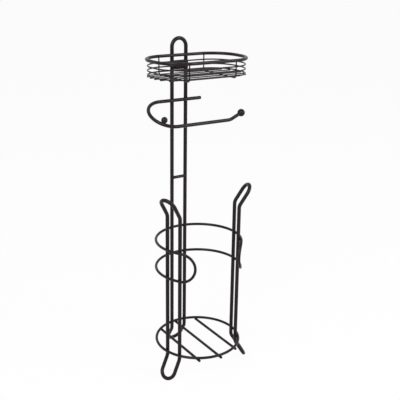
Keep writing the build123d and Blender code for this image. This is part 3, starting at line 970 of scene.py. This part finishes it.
def floor_seats(tray, p):
    """Beads of the floor wires under the bottom hoop and on top of the ribs."""
    y, half = floor_rows(tray, p)
    count = 2 * len(y)
    side = np.repeat((-1, 1), len(y))
    y = np.tile(y, 2)
    half = np.tile(half, 2)
    out_y = np.sign(y) * np.maximum(np.abs(y) - p.corner_y, 0)
    level = unit(np.column_stack([-out_y, side * (half - p.corner_x), np.zeros(count)]))
    along = ways(count, X_WAY)
    floor_r = tray.floor_d / 2

    def seats(x, z, normal, way, wire_r):
        at = np.column_stack([side * x, p.tray_y + y, np.full(count, z)])
        return seat_beads(at, ways(count, normal), way, along, wire_r, floor_r, tray.bite, tray.bead)

    hoop_z = p.bottom_z - (tray.bottom_d - tray.bite) / 2
    rib_z = p.rib_z + (tray.rib_d - tray.bite) / 2
    under_hoop = seats(half, hoop_z, -Z_WAY, level, tray.bottom_d / 2)
    return under_hoop + seats(tray.rib_x, rib_z, Z_WAY, ways(count, Y_WAY), tray.rib_d / 2)


class HOLDER_OT_welds(Operator):
    """Makes the weld beads, which the coat has smoothed over, at every crossing"""

    bl_idname = "holder.welds"
    bl_label = "Weld beads"

    def execute(self, context):
        scene = context.scene
        stand = scene.holder_stand
        arm = scene.holder_arm
        tray = scene.holder_tray
        p = places(scene)
        turns = rod_turns(stand, p)
        wire_r = stand.wire_d / 2
        beads = {"ring_welds": rod_seats(stand, p, turns, stand.ring_z, wire_r)}
        low, high = (stand.guard_z + side * stand.guard_half for side in (-1, 1))
        lower_arc = rod_seats(stand, p, turns, low, wire_r)
        beads["guard_welds"] = lower_arc + rod_seats(stand, p, turns, high, wire_r)
        x = np.repeat((-stand.bar_x, 0, stand.bar_x), 2)
        y = np.sqrt(stand.ring_r ** 2 - x ** 2) * np.tile((-1, 1), 3)
        count = len(x)
        at = np.column_stack([x, y, np.full(count, stand.ring_z - (stand.wire_d - stand.bite) / 2)])
        level = unit(np.column_stack([-y, x, np.zeros(count)]))
        down = ways(count, -Z_WAY)
        along = ways(count, Y_WAY)
        beads["bar_welds"] = seat_beads(at, down, level, along, wire_r, wire_r, stand.bite, stand.bead)
        at = np.array([[side * p.half, p.rod_out, stand.rung_z] for side in (-1, 1)])
        inward = np.array([X_WAY, -X_WAY])
        beads["rung_welds"] = end_collars(
            at, inward, ways(2, Z_WAY), stand.rod_d / 2, stand.rung_d / 2, stand.collar
        )
        beads["arm_welds"] = front_seats(stand, p, p.arm_back_z, arm.arm_d / 2)
        beads["rim_welds"] = front_seats(stand, p, p.rim_z, tray.rim_d / 2)
        route = arm_path(arm, p)
        foot, up, foot_way = (part[None] for part in (route.foot, Z_WAY, route.foot_way))
        beads["stop_weld"] = end_collars(
            foot, up, foot_way, arm.arm_d / 2, arm.stop_seat_d / 2, arm.stop_collar
        )
        beads["rib_welds"] = rib_seats(stand, tray, p)
        beads["floor_welds"] = floor_seats(tray, p)
        for name, grids in beads.items():
            add_piece(name, grids)
        return {"FINISHED"}


# Stage


def add_softbox(name, at, to, size, power):
    """A square soft light at a place, aimed at a point."""
    lamp = bpy.data.lights.new(name, "AREA")
    lamp.shape = "SQUARE"
    lamp.size = size
    lamp.energy = power
    box = bpy.data.objects.new(name, lamp)
    box.location = at
    box.rotation_mode = "QUATERNION"
    box.rotation_quaternion = (Vector(to) - Vector(at)).to_track_quat("-Z", "Y")
    bpy.context.scene.collection.objects.link(box)


class HOLDER_OT_stage(Operator):
    """Makes the floor, the lights and the camera"""

    bl_idname = "holder.stage"
    bl_label = "Stage"

    def execute(self, context):
        scene = context.scene
        stage = scene.holder_stage
        # A level sheet of paper under the stand, wide enough to reach past the picture
        corners = stage.floor_reach * np.array([(-1, -1, 0), (1, -1, 0), (1, 1, 0), (-1, 1, 0)])
        mesh = bpy.data.meshes.new(PAPER)
        mesh.from_pydata(corners, [], [(0, 1, 2, 3)])
        mesh.materials.append(finish_of(PAPER))
        floor = bpy.data.objects.new(PAPER, mesh)
        scene.collection.objects.link(floor)

        world = bpy.data.worlds.new("white_studio")
        world.use_nodes = True
        tree = world.node_tree
        tree.nodes.clear()
        levels = {"To Min": stage.sky_light, "To Max": stage.sky_seen}
        strength = add_node(tree, "MapRange", levels, {"Value": seen_ray(tree)})
        links = {"Strength": strength.outputs["Result"]}
        sky = add_node(tree, "Background", {"Color": (1, 1, 1, 1)}, links)
        add_node(tree, "OutputWorld", {}, {"Surface": sky.outputs["Background"]})
        scene.world = world
        scene.view_settings.view_transform = "Standard"

        add_softbox("key_softbox", stage.key_at, stage.lights_to, stage.key_size, stage.key_power)
        add_softbox("fill_softbox", stage.fill_at, stage.lights_to, stage.fill_size, stage.fill_power)

        lens = bpy.data.cameras.new("camera")
        lens.sensor_width = stage.sensor
        lens.lens = stage.lens
        camera = bpy.data.objects.new("camera", lens)
        camera.location = stage.camera_at
        camera.rotation_mode = "QUATERNION"
        aim = (Vector(stage.camera_to) - Vector(stage.camera_at)).to_track_quat("-Z", "Y")
        camera.rotation_quaternion = aim @ Quaternion((0, 0, 1), stage.camera_roll)
        scene.collection.objects.link(camera)
        scene.camera = camera
        return {"FINISHED"}


PIECES = (
    HOLDER_OT_loops,
    HOLDER_OT_base,
    HOLDER_OT_guard,
    HOLDER_OT_roll_arm,
    HOLDER_OT_tray,
    HOLDER_OT_fixing,
    HOLDER_OT_welds,
    HOLDER_OT_stage,
)


class HOLDER_PT_panel(Panel):
    """Lists the holder's pieces and sizes"""

    bl_idname = "HOLDER_PT_panel"
    bl_label = "Toilet paper holder"
    bl_space_type = "VIEW_3D"
    bl_region_type = "UI"
    bl_category = "Holder"

    def draw(self, context):
        for piece in PIECES:
            self.layout.operator(piece.bl_idname)
        for name, group in GROUPS.items():
            box = self.layout.box()
            box.label(text=group.__doc__)
            for key in group.__annotations__:
                box.prop(getattr(context.scene, name), key)


def register():
    for kind in (*GROUPS.values(), *PIECES, HOLDER_PT_panel):
        bpy.utils.register_class(kind)
    for name, group in GROUPS.items():
        setattr(bpy.types.Scene, name, PointerProperty(type=group))


def unregister():
    for name in GROUPS:
        delattr(bpy.types.Scene, name)
    for kind in (HOLDER_PT_panel, *reversed(PIECES), *reversed(GROUPS.values())):
        bpy.utils.unregister_class(kind)


def main():
    """Registers the add-on and makes every piece and the stage."""
    register()
    bpy.ops.holder.loops()
    bpy.ops.holder.base()
    bpy.ops.holder.guard()
    bpy.ops.holder.roll_arm()
    bpy.ops.holder.tray()
    bpy.ops.holder.fixing()
    bpy.ops.holder.welds()
    bpy.ops.holder.stage()


if __name__ == "__main__":
    main()
